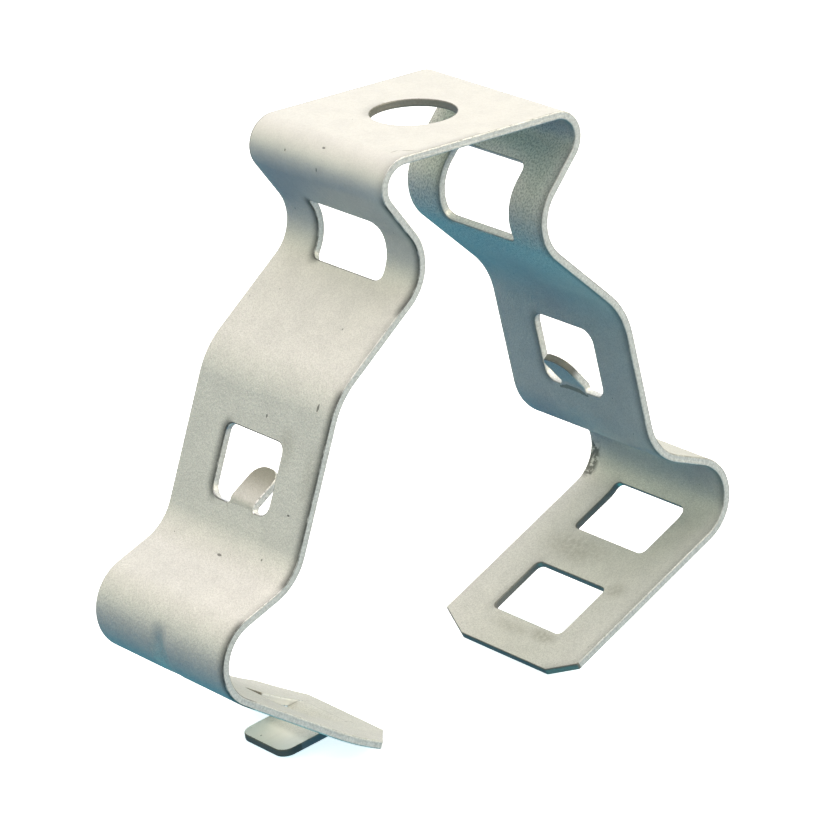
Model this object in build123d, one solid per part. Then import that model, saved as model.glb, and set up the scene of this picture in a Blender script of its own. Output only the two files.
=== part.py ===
from build123d import *
from dataclasses import dataclass
from math import cos, pi, radians, sin
import os

# A snap close conduit clamp: one strip of spring steel, pierced flat and then folded.
# Lengths are in millimetres and angles in degrees.
#
# The strip hangs from a bolt through its top plate. Each leg turns down from the plate, pinches in
# to a neck, runs out over a sloping shoulder, down a middle panel, out over a shelf and round a
# foot bend. The left foot carries a hook lanced out of it. The right foot has two slots, and one
# of them drops over that hook when the legs are squeezed shut round a conduit.
#
# Frame: the origin is the centre of the bolt hole in the upper face of the top plate. +X runs from
# the hooked leg to the slotted leg, +Y runs across the strip and +Z is up.

# The sheet and its top plate
STRIP_WIDTH = 19.0
SHEET = 0.76
BOLT_HOLE_DIAMETER = 7.8
HOLE_TO_TOP_BEND = 8.6

# Radii on the hollow side of each bend
TOP_BEND_RADIUS = 1.95
NECK_RADIUS = 4.05
SHOULDER_RADIUS = 7.5
SHELF_RADIUS = 4.95
FOOT_BEND_RADIUS = 3.75
TOE_CURL_RADIUS = 33.0

# Straight stretches and turns that both legs share
TOP_TO_NECK = 4.1
SHELF_LENGTH = 3.45
NECK_TURN = 87.2

# Windows in the necks and the middle panels
NECK_WINDOW_WIDTH = 9.7
NECK_WINDOW_CORNER = 0.8
MIDDLE_WINDOW_WIDTH = 8.2
MIDDLE_WINDOW_LOWER_CORNER = 1.2

# The spring tongue lanced inwards from the lower edge of each middle window
TONGUE_WIDTH = 3.4
TONGUE_BEND_RADIUS = 0.2
TONGUE_TIP_CORNER = 1.4
TONGUE_ROOT_CORNER = 0.3
TONGUE_ROOT_STRAIGHT = 0.35

# Slots in the right foot, counted back from its toe
SLOT_WIDTH = 9.7
SLOT_LENGTH = 6.5
SLOT_PITCH = 11.5
TOE_TO_SLOT = 4.0
SLOT_COUNT = 2
SLOT_CORNER = 0.6

# Cut corners of both toes: how far each cut runs along and across the strip
RIGHT_TOE_CUT = 1.9
RIGHT_TOE_CUT_BACK = 4.25
RIGHT_TOE_CUT_FRONT = 2.6
LEFT_TOE_CUT = 3.4
LEFT_TOE_CUT_BACK = 4.05
LEFT_TOE_CUT_FRONT = 4.05

# The hook lanced downwards from the left foot
HOOK_WIDTH = 6.6
HOOK_ROOT_TO_TOE = 2.6
HOOK_BEND_RADIUS = 1.0
HOOK_TURN = 29.0
HOOK_LENGTH = 6.5
HOOK_CORNER = 1.2
HOOK_END_CLEARANCE = 0.5

# The dart pressed into the outside of the left foot bend
DART_RADIUS = 1.6
DART_DEPTH = 0.35
DART_INTO_FOOT_BEND = 6.1
DART_OFFSET = 0.1

# Cutters run past both faces of the sheet by this much
CUT_OVERRUN = 0.6

# How near an edge must be, in place and in direction, to be taken for the one looked for
PLACE_TOLERANCE = 1e-3
TURN_TOLERANCE = 1e-6


@dataclass(frozen=True)
class LegSizes:
    """The sizes that differ between the two legs, which are sprung open by different amounts."""

    side: int
    top_turn: float
    shoulder_length: float
    shoulder_turn: float
    panel_length: float
    shelf_turn: float
    foot_turn: float
    foot_length: float
    toe_turn: float
    neck_window_start: float
    neck_window_length: float
    middle_window_length: float
    middle_window_to_shelf: float
    middle_window_upper_corner: float
    tongue_turn: float
    tongue_length: float
    tongue_offset: float


LEFT = LegSizes(
    side=-1,
    top_turn=126.0,
    shoulder_length=8.45,
    shoulder_turn=30.5,
    panel_length=11.95,
    shelf_turn=47.7,
    foot_turn=125.6,
    foot_length=11.4,
    toe_turn=15.5,
    neck_window_start=17.25,
    neck_window_length=6.4,
    middle_window_length=6.75,
    middle_window_to_shelf=1.95,
    middle_window_upper_corner=0.9,
    tongue_turn=36.0,
    tongue_length=3.6,
    tongue_offset=-0.35,
)

RIGHT = LegSizes(
    side=1,
    top_turn=130.2,
    shoulder_length=7.9,
    shoulder_turn=35.4,
    panel_length=9.75,
    shelf_turn=57.9,
    foot_turn=133.5,
    foot_length=20.3,
    toe_turn=0.0,
    neck_window_start=16.2,
    neck_window_length=7.5,
    middle_window_length=7.1,
    middle_window_to_shelf=1.75,
    middle_window_upper_corner=1.3,
    tongue_turn=30.0,
    tongue_length=3.9,
    tongue_offset=0.3,
)


@dataclass(frozen=True)
class Stretch:
    """One straight or round stretch of a middle line; a positive curve turns clockwise."""

    start: tuple
    heading: float
    length: float
    curve: float
    begins: float

    def place(self, along):
        """Point and heading at a distance from the stretch's own start."""
        x, z = self.start
        if self.curve == 0:
            return (x + along * cos(self.heading), z + along * sin(self.heading)), self.heading
        turned = self.heading - along * self.curve
        return (
            x + (sin(self.heading) - sin(turned)) / self.curve,
            z + (cos(turned) - cos(self.heading)) / self.curve,
        ), turned


class MiddleLine:
    """The middle line of a folded sheet in the XZ plane.

    It is drawn as for the right leg, and mirrored for the left.
    """

    def __init__(self, start, heading, side):
        self.start = start
        self.heading = heading
        self.side = side
        self.length = 0.0
        self.stretches = []
        self.marks = {}

    def _add(self, length, curve):
        stretch = Stretch(self.start, self.heading, length, curve, self.length)
        self.stretches.append(stretch)
        self.start, self.heading = stretch.place(length)
        self.length += length

    def straight(self, length):
        """Runs straight on."""
        self._add(length, 0.0)

    def bend(self, hollow_radius, turn):
        """Turns by an angle, clockwise if positive, round a radius measured on the hollow side."""
        if turn:
            middle = hollow_radius + SHEET / 2
            self._add(middle * radians(abs(turn)), (1 if turn > 0 else -1) / middle)

    def mark(self, name):
        """Notes the distance reached so far under a name."""
        self.marks[name] = self.length

    def at(self, distance):
        """Point and heading at a distance along the line."""
        for stretch in self.stretches:
            if distance <= stretch.begins + stretch.length:
                return stretch.place(distance - stretch.begins)
        return self.stretches[-1].place(distance - self.stretches[-1].begins)

    def offset(self, distance, rise, y=0.0):
        """Point off the line by a rise towards the sheet's outer face, as a place in space."""
        (x, z), heading = self.at(distance)
        return Vector(self.side * (x - rise * sin(heading)), y, z + rise * cos(heading))

    def band(self, begin, end, low, high, y_low, y_high):
        """Solid between two distances and two rises, cut square across the strip."""
        pieces = []
        for stretch in self.stretches:
            first = max(begin, stretch.begins)
            last = min(end, stretch.begins + stretch.length)
            if last - first > PLACE_TOLERANCE:
                pieces.append((first, last, stretch.curve != 0))
        upper = [self._edge(a, b, high, curved, y_low) for a, b, curved in pieces]
        lower = [self._edge(b, a, low, curved, y_low) for a, b, curved in reversed(pieces)]
        close = Line(self.offset(end, high, y_low), self.offset(end, low, y_low))
        back = Line(self.offset(begin, low, y_low), self.offset(begin, high, y_low))
        outline = Wire(upper + [close] + lower + [back])
        return extrude(Face(outline), amount=y_high - y_low, dir=(0, 1, 0))

    def _edge(self, first, last, rise, curved, y):
        start, end = self.offset(first, rise, y), self.offset(last, rise, y)
        if curved:
            return ThreePointArc(start, self.offset((first + last) / 2, rise, y), end)
        return Line(start, end)

    def branch(self, distance):
        """A new line that starts on this one and runs back up it."""
        point, heading = self.at(distance)
        return MiddleLine(point, heading + pi, self.side)


def leg_line(leg):
    """Middle line of one leg, from under the bolt hole to the toe."""
    line = MiddleLine((0.0, -SHEET / 2), 0.0, leg.side)
    line.straight(HOLE_TO_TOP_BEND)
    line.bend(TOP_BEND_RADIUS, leg.top_turn)
    line.straight(TOP_TO_NECK)
    line.bend(NECK_RADIUS, -NECK_TURN)
    line.straight(leg.shoulder_length)
    line.bend(SHOULDER_RADIUS, leg.shoulder_turn)
    line.straight(leg.panel_length)
    line.mark("panel_end")
    line.bend(SHELF_RADIUS, -leg.shelf_turn)
    line.straight(SHELF_LENGTH)
    line.mark("foot_bend")
    line.bend(FOOT_BEND_RADIUS, leg.foot_turn)
    line.straight(leg.foot_length)
    line.bend(TOE_CURL_RADIUS, leg.toe_turn)
    line.mark("toe")
    return line


def across_sheet_edges(solid, line, distance):
    """Corner edges of a band that run straight through the sheet at a distance along its line."""
    _, heading = line.at(distance)
    through = Vector(-line.side * sin(heading), 0, cos(heading))
    along = Vector(line.side * cos(heading), 0, sin(heading))
    place = line.offset(distance, 0)
    found = []
    for edge in solid.edges().filter_by(GeomType.LINE):
        middle = edge.position_at(0.5)
        run = (edge.position_at(1) - edge.position_at(0)).normalized()
        beside = abs((middle - place).dot(along))
        if beside < PLACE_TOLERANCE and run.cross(through).length < TURN_TOLERANCE:
            found.append(edge)
    return found


def punched(line, begin, end, width, begin_corner, end_corner):
    """Cutter for a rectangular window with rounded corners, its walls square to the sheet."""
    reach = SHEET / 2 + CUT_OVERRUN
    solid = line.band(begin, end, -reach, reach, -width / 2, width / 2)
    for distance, corner in ((begin, begin_corner), (end, end_corner)):
        if corner:
            solid = fillet(across_sheet_edges(solid, line, distance), corner)
    return solid


def flap(run, width, corner, offset=0.0):
    """Sheet flap along its own middle line, with both corners of its free end rounded."""
    low, high = offset - width / 2, offset + width / 2
    solid = run.band(0, run.length, -SHEET / 2, SHEET / 2, low, high)
    return fillet(across_sheet_edges(solid, run, run.length), corner)


def strap(left, right):
    """Both folded legs and the top plate between them, before anything is pierced."""
    box = -SHEET / 2, SHEET / 2, -STRIP_WIDTH / 2, STRIP_WIDTH / 2
    return left.band(0, left.length, *box) + right.band(0, right.length, *box)


def toe_cuts(body, line, along, back_across, front_across):
    """Cuts both corners off a toe."""
    for hand, across in ((1, back_across), (-1, front_across)):
        corners = across_sheet_edges(body, line, line.length)
        corner = max(corners, key=lambda edge: hand * edge.center().Y)
        toe = line.offset(line.length, 0)
        end = min(body.faces(), key=lambda face: (face.center() - toe).length)
        body = chamfer(corner, across, along, reference=end)
    return body


def bolt_hole():
    """Cutter for the hole in the top plate."""
    return Pos(0, 0, -SHEET / 2) * Cylinder(BOLT_HOLE_DIAMETER / 2, SHEET + 2 * CUT_OVERRUN)


def neck_window(line, leg):
    """Cutter for the window that weakens a neck so that the leg can swing."""
    begin = leg.neck_window_start
    end = begin + leg.neck_window_length
    return punched(line, begin, end, NECK_WINDOW_WIDTH, NECK_WINDOW_CORNER, NECK_WINDOW_CORNER)


def middle_window(line, leg):
    """Cutter for the window in a middle panel."""
    end = line.marks["panel_end"] - leg.middle_window_to_shelf
    begin = end - leg.middle_window_length
    corners = leg.middle_window_upper_corner, MIDDLE_WINDOW_LOWER_CORNER
    return punched(line, begin, end, MIDDLE_WINDOW_WIDTH, *corners)


def tongue(line, leg):
    """Spring tongue that leans in from the lower edge of a middle window."""
    run = line.branch(line.marks["panel_end"] - leg.middle_window_to_shelf)
    run.straight(TONGUE_ROOT_STRAIGHT)
    run.bend(TONGUE_BEND_RADIUS, -leg.tongue_turn)
    run.straight(leg.tongue_length)
    return flap(run, TONGUE_WIDTH, TONGUE_TIP_CORNER, leg.tongue_offset)


def foot_slot(line, count):
    """Cutter for one slot of the right foot, counted from its toe."""
    end = line.marks["toe"] - TOE_TO_SLOT - count * SLOT_PITCH
    return punched(line, end - SLOT_LENGTH, end, SLOT_WIDTH, SLOT_CORNER, SLOT_CORNER)


def hook_run(line):
    """Middle line of the hook, from its root near the toe."""
    run = line.branch(line.marks["toe"] - HOOK_ROOT_TO_TOE)
    run.bend(HOOK_BEND_RADIUS, HOOK_TURN)
    run.straight(HOOK_LENGTH)
    return run


def hook_window(line):
    """Cutter for the opening that the hook was lanced out of, as long as the hook unrolled."""
    root = line.marks["toe"] - HOOK_ROOT_TO_TOE
    begin = root - hook_run(line).length - HOOK_END_CLEARANCE
    return punched(line, begin, root, HOOK_WIDTH, HOOK_CORNER, 0)


def dart(line):
    """Ridge and cutter of the dart pressed into the outside of a foot bend."""
    start = line.marks["foot_bend"]
    centre = line.offset(start, -FOOT_BEND_RADIUS - SHEET / 2, DART_OFFSET)
    outwards = (line.offset(start + DART_INTO_FOOT_BEND, 0, DART_OFFSET) - centre).normalized()
    away = FOOT_BEND_RADIUS + SHEET + DART_RADIUS - DART_DEPTH
    bar = Plane(centre + outwards * away, x_dir=(0, 1, 0), z_dir=outwards.cross(Vector(0, 1, 0)))
    reach = 4 * FOOT_BEND_RADIUS
    hollow = Plane(centre, z_dir=(0, 1, 0)) * Cylinder(FOOT_BEND_RADIUS + SHEET / 2, reach)
    ridge = (bar * Cylinder(DART_RADIUS + SHEET, reach)) & hollow
    return ridge, bar * Cylinder(DART_RADIUS, reach)


def conduit_clamp():
    """The whole clamp as one solid."""
    left, right = leg_line(LEFT), leg_line(RIGHT)
    body = strap(left, right)
    body = toe_cuts(body, left, LEFT_TOE_CUT, LEFT_TOE_CUT_BACK, LEFT_TOE_CUT_FRONT)
    body = toe_cuts(body, right, RIGHT_TOE_CUT, RIGHT_TOE_CUT_BACK, RIGHT_TOE_CUT_FRONT)
    ridge, groove = dart(left)
    body = body + ridge - groove - bolt_hole()
    for line, leg in ((left, LEFT), (right, RIGHT)):
        body -= neck_window(line, leg)
        body -= middle_window(line, leg)
        body += tongue(line, leg)
        root = line.marks["panel_end"] - leg.middle_window_to_shelf
        body = fillet(across_sheet_edges(body, line, root), TONGUE_ROOT_CORNER)
    for count in range(SLOT_COUNT):
        body -= foot_slot(right, count)
    body -= hook_window(left)
    body += flap(hook_run(left), HOOK_WIDTH, HOOK_CORNER)
    return body


os.makedirs("parts", exist_ok=True)
clamp = conduit_clamp()
clamp.label = "clamp_strap"
export_step(clamp, "parts/clamp_strap.step")
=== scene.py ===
"""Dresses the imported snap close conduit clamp.

The strap is made again from its pierced flat blank: the blank is outlined with its windows, hook
and tongues, given edges that are broken by the shears, and folded along the middle lines of both
legs. It takes the place of the CAD strap and keeps its form.
"""

import logging
from collections.abc import Sequence
from dataclasses import dataclass, field
from enum import Enum
from math import cos, pi, radians, sin, tan

import bpy
import numpy as np
from mathutils import Matrix, Vector
from mathutils.geometry import delaunay_2d_cdt


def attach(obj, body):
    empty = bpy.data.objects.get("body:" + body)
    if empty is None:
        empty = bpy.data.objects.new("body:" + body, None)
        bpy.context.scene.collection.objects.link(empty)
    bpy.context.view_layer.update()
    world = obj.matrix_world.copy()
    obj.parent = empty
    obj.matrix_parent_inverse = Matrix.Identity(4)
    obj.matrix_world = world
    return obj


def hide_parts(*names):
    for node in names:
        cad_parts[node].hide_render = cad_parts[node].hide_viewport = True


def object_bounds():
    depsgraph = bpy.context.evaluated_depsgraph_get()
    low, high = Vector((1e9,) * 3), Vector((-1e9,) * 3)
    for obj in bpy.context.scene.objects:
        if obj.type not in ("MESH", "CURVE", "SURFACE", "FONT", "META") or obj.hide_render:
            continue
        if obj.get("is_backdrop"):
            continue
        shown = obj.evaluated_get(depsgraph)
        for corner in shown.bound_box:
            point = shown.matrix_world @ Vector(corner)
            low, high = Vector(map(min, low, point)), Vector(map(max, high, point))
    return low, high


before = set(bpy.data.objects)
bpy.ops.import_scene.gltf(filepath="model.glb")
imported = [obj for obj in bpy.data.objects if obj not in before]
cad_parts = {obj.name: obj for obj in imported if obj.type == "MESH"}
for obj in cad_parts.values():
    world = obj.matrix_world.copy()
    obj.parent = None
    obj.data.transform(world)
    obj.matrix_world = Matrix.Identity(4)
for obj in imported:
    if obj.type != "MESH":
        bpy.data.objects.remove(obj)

MM = 0.001
FRAME_PIXELS = 826
TINY = 1e-7
PLACE = "blank"
NEAR_RIM = "near_rim"
ZONE = "zone"
LOG = logging.getLogger("clamp")

Span = tuple[float, float]
WeightedSpan = tuple[float, float, float]  # begin, end and share
Levels = tuple[float, float, float, float]  # low and high, and what comes out at each
Grain = tuple[float, float, float]  # cells to a millimetre, finer layers and their strength
Factors = tuple[float, float, float]
Corner = tuple[float, float, float]
Colour = tuple[float, float, float]
Socket = bpy.types.NodeSocket
Joins = list[tuple[int, int]]
Polygons = tuple[list[Sequence[int]], list[int]]


class Hand(Enum):
    """The side of the bolt that a leg stands on."""

    LEFT = -1
    RIGHT = 1


class Zone(Enum):
    """The part of the sheet that a point of the blank belongs to."""

    STRIP = 0
    LEFT_TONGUE = 1
    RIGHT_TONGUE = 2
    HOOK = 3


class Finish(Enum):
    """The strap's two finishes, by the number of their material slot."""

    COAT = 0
    EDGE = 1


@dataclass(frozen=True)
class Stretch:
    """One straight or round stretch of a middle line. A positive curve turns clockwise."""

    x: float
    z: float
    heading: float
    length: float
    curve: float
    begins: float

    def place(self, along: np.ndarray) -> tuple[np.ndarray, np.ndarray, np.ndarray]:
        """Finds points of the stretch.

        Args:
            along: Distances from the start of the stretch.

        Returns:
            Their x, their z and their headings.
        """
        if self.curve == 0:
            turned = np.full_like(along, self.heading)
            return self.x + along * cos(self.heading), self.z + along * sin(self.heading), turned
        turned = self.heading - along * self.curve
        x = self.x + (sin(self.heading) - np.sin(turned)) / self.curve
        z = self.z + (np.cos(turned) - cos(self.heading)) / self.curve
        return x, z, turned


@dataclass
class FoldLine:
    """The middle line of a folded sheet, in millimetres, in the plane across the strip."""

    hand: Hand
    sheet: float
    start: tuple[float, float, float]
    length: float = 0.0
    stretches: list[Stretch] = field(default_factory=list)
    marks: dict[str, float] = field(default_factory=dict)

    def _add(self, length: float, curve: float) -> None:
        """Adds a stretch at the end of the line.

        Args:
            length: Its length.
            curve: Its curve; 0 where it is straight.
        """
        stretch = Stretch(*self.start, length, curve, self.length)
        self.stretches.append(stretch)
        x, z, heading = stretch.place(np.array([length]))
        self.start = float(x[0]), float(z[0]), float(heading[0])
        self.length += length

    def straight(self, length: float) -> None:
        """Runs straight on."""
        self._add(length, 0.0)

    def bend(self, hollow_radius: float, turn: float) -> None:
        """Bends the line.

        Args:
            hollow_radius: The radius on the hollow side of the sheet.
            turn: The angle in degrees, clockwise if positive.
        """
        if turn:
            middle = hollow_radius + self.sheet / 2
            self._add(middle * radians(abs(turn)), (1 if turn > 0 else -1) / middle)

    def mark(self, name: str) -> None:
        """Notes the distance reached so far under a name."""
        self.marks[name] = self.length

    def at(self, along: np.ndarray) -> tuple[np.ndarray, np.ndarray, np.ndarray]:
        """Finds points of the line.

        Args:
            along: Distances from the start of the line.

        Returns:
            Their x, their z and their headings.
        """
        x, z, heading = self.stretches[0].place(along)
        for stretch in self.stretches[1:]:
            past = along > stretch.begins
            found = stretch.place(along - stretch.begins)
            x, z, heading = (np.where(past, new, old) for new, old in zip(found, (x, z, heading)))
        return x, z, heading

    def fold(self, along: np.ndarray, across: np.ndarray, rise: np.ndarray) -> np.ndarray:
        """Places points of the sheet in space.

        Args:
            along: Distances along the line.
            across: Distances across the strip.
            rise: Heights over the middle of the sheet, towards its outer face.

        Returns:
            One row of x, y and z for each point.
        """
        x, z, heading = self.at(along)
        side = self.hand.value
        return np.stack([side * (x - rise * np.sin(heading)), across, z + rise * np.cos(heading)], 1)

    def branch(self, distance: float) -> "FoldLine":
        """A new line that starts on this one and runs back up it."""
        x, z, heading = (float(value[0]) for value in self.at(np.array([distance])))
        return FoldLine(self.hand, self.sheet, (x, z, heading + pi))

    def stations(self, turn: float, step: float) -> list[float]:
        """Distances at which a mesh of the sheet needs points.

        Args:
            turn: The largest turn between two of them, in degrees.
            step: The longest distance between two of them.

        Returns:
            The distances, from the start to the end of the line.
        """
        found = [0.0]
        for stretch in self.stretches:
            wanted = max(stretch.length / step, stretch.length * abs(stretch.curve) / radians(turn))
            count = max(1, round(wanted))
            found += [stretch.begins + stretch.length * (i + 1) / count for i in range(count)]
        return found


@dataclass(frozen=True)
class Leg:
    """The sizes that differ between the two legs, in millimetres and degrees."""

    hand: Hand
    top_turn: float
    shoulder_length: float
    shoulder_turn: float
    panel_length: float
    shelf_turn: float
    foot_turn: float
    foot_length: float
    toe_turn: float
    neck_window_start: float
    neck_window_length: float
    middle_window_length: float
    middle_window_to_shelf: float
    middle_window_upper_corner: float
    tongue_turn: float
    tongue_length: float
    tongue_offset: float
    tongue_zone: Zone


LEFT_LEG = Leg(
    hand=Hand.LEFT,
    top_turn=126.0,
    shoulder_length=8.45,
    shoulder_turn=30.5,
    panel_length=11.95,
    shelf_turn=47.7,
    foot_turn=125.6,
    foot_length=11.4,
    toe_turn=15.5,
    neck_window_start=17.25,
    neck_window_length=6.4,
    middle_window_length=6.75,
    middle_window_to_shelf=1.95,
    middle_window_upper_corner=0.9,
    tongue_turn=36.0,
    tongue_length=3.6,
    tongue_offset=-0.35,
    tongue_zone=Zone.LEFT_TONGUE,
)

RIGHT_LEG = Leg(
    hand=Hand.RIGHT,
    top_turn=130.2,
    shoulder_length=7.9,
    shoulder_turn=35.4,
    panel_length=9.75,
    shelf_turn=57.9,
    foot_turn=133.5,
    foot_length=20.3,
    toe_turn=0.0,
    neck_window_start=16.2,
    neck_window_length=7.5,
    middle_window_length=7.1,
    middle_window_to_shelf=1.75,
    middle_window_upper_corner=1.3,
    tongue_turn=30.0,
    tongue_length=3.9,
    tongue_offset=0.3,
    tongue_zone=Zone.RIGHT_TONGUE,
)


class Wiring:
    """Adds nodes to one material. Patterns are laid out on the flat blank, in millimetres."""

    def __init__(self, name: str) -> None:
        """Starts a material with one shader.

        Args:
            name: The material's name.
        """
        self.material = bpy.data.materials.new(name)
        self.material.use_nodes = True
        self.tree = self.material.node_tree
        self.shader = self.tree.nodes["Principled BSDF"]

    def node(self, kind: str, values: dict[str | int, object], **options: object) -> bpy.types.Node:
        """Adds a node.

        Args:
            kind: The node's type, without the word that shader nodes begin with.
            values: What goes into each input: a socket to link, or a constant.
            options: The node's own settings.

        Returns:
            The node.
        """
        node = self.tree.nodes.new("ShaderNode" + kind)
        for option, setting in options.items():
            setattr(node, option, setting)
        for name, value in values.items():
            self.feed(node, name, value)
        return node

    def feed(self, node: bpy.types.Node, name: str | int, value: object) -> None:
        """Links a socket to an input, or sets the input to a constant.

        Args:
            node: The node.
            name: The input's name or number.
            value: The socket or the constant.
        """
        if isinstance(value, Socket):
            self.tree.links.new(value, node.inputs[name])
        else:
            node.inputs[name].default_value = value

    def blank(self) -> Socket:
        """Place on the flat blank: along it, across it, and over the middle of the sheet."""
        return self.node("Attribute", {}, attribute_name=PLACE).outputs["Vector"]

    def in_zone(self, zone: Zone) -> Socket:
        """One on a part of the sheet and 0 elsewhere."""
        found = self.node("Attribute", {}, attribute_name=ZONE).outputs["Fac"]
        return self.maths("COMPARE", found, float(zone.value))

    def parts(self, vector: Socket) -> list[Socket]:
        """The three parts of a vector."""
        return list(self.node("SeparateXYZ", {"Vector": vector}).outputs)

    def stretched(self, vector: Socket, factors: Factors) -> Socket:
        """A vector with each part multiplied by its own factor."""
        return self.node("VectorMath", {0: vector, 1: factors}, operation="MULTIPLY").outputs[0]

    def maths(self, operation: str, first: object, second: object = 0.0) -> Socket:
        """One step of arithmetic."""
        return self.node("Math", {0: first, 1: second}, operation=operation).outputs[0]

    def times(self, first: object, second: object) -> Socket:
        """The product of two values."""
        return self.maths("MULTIPLY", first, second)

    def most(self, first: object, second: object) -> Socket:
        """The greater of two values."""
        return self.maths("MAXIMUM", first, second)

    def noise(self, vector: Socket, per_mm: float, detail: float = 2.0, rough: float = 0.5) -> Socket:
        """Cloudy pattern from 0 to 1: its cells to a millimetre, its finer layers and their strength."""
        values = {"Vector": vector, "Scale": per_mm, "Detail": detail, "Roughness": rough}
        return self.node("TexNoise", values).outputs[0]

    def ramp(self, value: Socket, low: float, high: float, start: float = 0.0, end: float = 1.0) -> Socket:
        """Eases a value from start to end while it runs from low to high, which may also be lower."""
        values = {"Value": value, "From Min": low, "From Max": high, "To Min": start, "To Max": end}
        return self.node("MapRange", values, interpolation_type="SMOOTHSTEP").outputs[0]

    def mix(self, share: object, first: object, second: object, blend: str = "MIX") -> Socket:
        """Blends two colours.

        Args:
            share: Share of the second colour.
            first: The first colour, as a socket or a constant.
            second: The second colour, or a grey socket.
            blend: The way of blending.

        Returns:
            The blended colour.
        """
        node = self.node("Mix", {}, data_type="RGBA", blend_type=blend)
        self.feed(node, "Factor", share)
        for name, value in (("A", first), ("B", second)):
            self.feed(node, name, value if isinstance(value, Socket) else (*value, 1.0))
        return node.outputs["Result"]

    def bump(self, height: Socket, depth: float, under: Socket | None = None) -> Socket:
        """Relief.

        Args:
            height: The pattern of the relief.
            depth: How high a value of one stands, in millimetres; below zero for a hollow.
            under: The relief that this one lies on.

        Returns:
            The bent surface direction.
        """
        values = {"Height": height, "Distance": abs(depth) * MM}
        if under is not None:
            values["Normal"] = under
        return self.node("Bump", values, invert=depth < 0).outputs["Normal"]

    def between(self, value: Socket, low: float, high: float, ease: float) -> Socket:
        """One between two limits, easing to 0 over a distance outside each of them."""
        rising = self.ramp(value, low - ease, low)
        return self.times(rising, self.ramp(value, high + ease, high))


@dataclass(frozen=True)
class Cloud:
    """Cloudy pattern: its cells to a millimetre, and the levels that it is eased between."""

    per_mm: float
    low: float
    high: float
    start: float = 0.0
    end: float = 1.0
    detail: float = 3.0
    rough: float = 0.5

    def draw(self, wiring: Wiring, place: Socket) -> Socket:
        """Draws the pattern, looked up at a place."""
        found = wiring.noise(place, self.per_mm, self.detail, self.rough)
        return wiring.ramp(found, self.low, self.high, self.start, self.end)


@dataclass(frozen=True)
class RimShade:
    """Dark line and soft shade along the rims of the sheared edges, in millimetres on the blank."""

    colour: Colour = (0.07, 0.075, 0.07)
    spans: tuple[WeightedSpan, ...] = (
        (-66.5, -58.0, 1.0),
        (-52.0, -35.0, 1.0),
        (-25.5, -13.5, 1.0),
        (14.0, 62.0, 0.65),
    )
    span_ease: float = 1.5
    least: float = 0.3
    patches: Cloud = Cloud(0.8, 0.3, 0.55, 0.45, 1.0)
    dashes: Cloud = Cloud(2.4, 0.55, 0.62, 0.0, 0.5, rough=0.6)
    outer_rim: Span = (0.27, 0.371)
    inner_rim: Span = (-0.371, -0.3)
    inner_share: float = 0.8
    rim_ease: float = 0.008
    line: float = 0.9
    shade: float = 0.8
    reach: float = 1.5
    fade: float = 2.2
    opening_span: Span = (-85.0, -75.5)
    opening_half: float = 3.9
    opening_ease: float = 0.1
    far_span: Span = (-13.0, 9.0)
    far_span_ease: float = 3.0
    far_from: float = 9.27
    far_ease: float = 0.05
    far_share: float = 0.6

    def in_opening(self, wiring: Wiring, along: Socket, across: Socket) -> Socket:
        """One in the hook's opening and on its walls, and 0 elsewhere."""
        beside = wiring.maths("LESS_THAN", wiring.maths("ABSOLUTE", across), self.opening_half)
        return wiring.times(beside, wiring.between(along, *self.opening_span, self.opening_ease))

    def strength(self, wiring: Wiring, along: Socket, across: Socket) -> Socket:
        """Tells how dark the rims are at each place.

        Args:
            wiring: The material.
            along: Distance along the strip.
            across: Distance across it.

        Returns:
            The strength; 0 on the tongues, on the hook and in its opening.
        """
        found: float | Socket = self.least
        for begin, end, share in self.spans:
            one = wiring.times(wiring.between(along, begin, end, self.span_ease), share)
            found = wiring.most(found, one)
        outside = wiring.maths("SUBTRACT", 1.0, self.in_opening(wiring, along, across))
        return wiring.times(found, wiring.times(wiring.in_zone(Zone.STRIP), outside))

    def draw(self, wiring: Wiring, colour: Socket, place: Socket) -> Socket:
        """Draws the dark line on the rounding of the rims, and the one along the far rim of the top.

        Args:
            wiring: The material.
            colour: The colour that the line is drawn on.
            place: Place on the blank.

        Returns:
            The colour with the line.
        """
        along, across, rise = wiring.parts(place)
        outer = wiring.between(rise, *self.outer_rim, self.rim_ease)
        inner = wiring.times(wiring.between(rise, *self.inner_rim, self.rim_ease), self.inner_share)
        rims = wiring.maths("ADD", outer, inner)
        line = wiring.times(self.patches.draw(wiring, place), self.strength(wiring, along, across))
        dashes = self.dashes.draw(wiring, place)
        line = wiring.most(wiring.times(line, self.line), dashes)
        far = wiring.ramp(across, self.far_from, self.far_from + self.far_ease, 0.0, self.far_share)
        far = wiring.times(far, wiring.between(along, *self.far_span, self.far_span_ease))
        share = wiring.most(wiring.times(rims, line), far)
        return wiring.mix(share, colour, self.colour)

    def soften(self, wiring: Wiring, colour: Socket, place: Socket) -> Socket:
        """Shades the outer face of the left leg, and the inner one of the right, towards the near rims.

        Args:
            wiring: The material.
            colour: The colour that is shaded.
            place: Place on the blank.

        Returns:
            The shaded colour.
        """
        along, across, rise = wiring.parts(place)
        gap = wiring.node("Attribute", {}, attribute_name=NEAR_RIM).outputs["Fac"]
        close = wiring.maths("POWER", wiring.ramp(gap, self.reach, 0.0), self.fade)
        seen = wiring.maths("LESS_THAN", wiring.times(along, rise), 0.0)
        strength = self.strength(wiring, along, across)
        share = wiring.times(wiring.times(close, seen), strength)
        return wiring.mix(wiring.times(share, self.shade), colour, self.colour)


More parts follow.
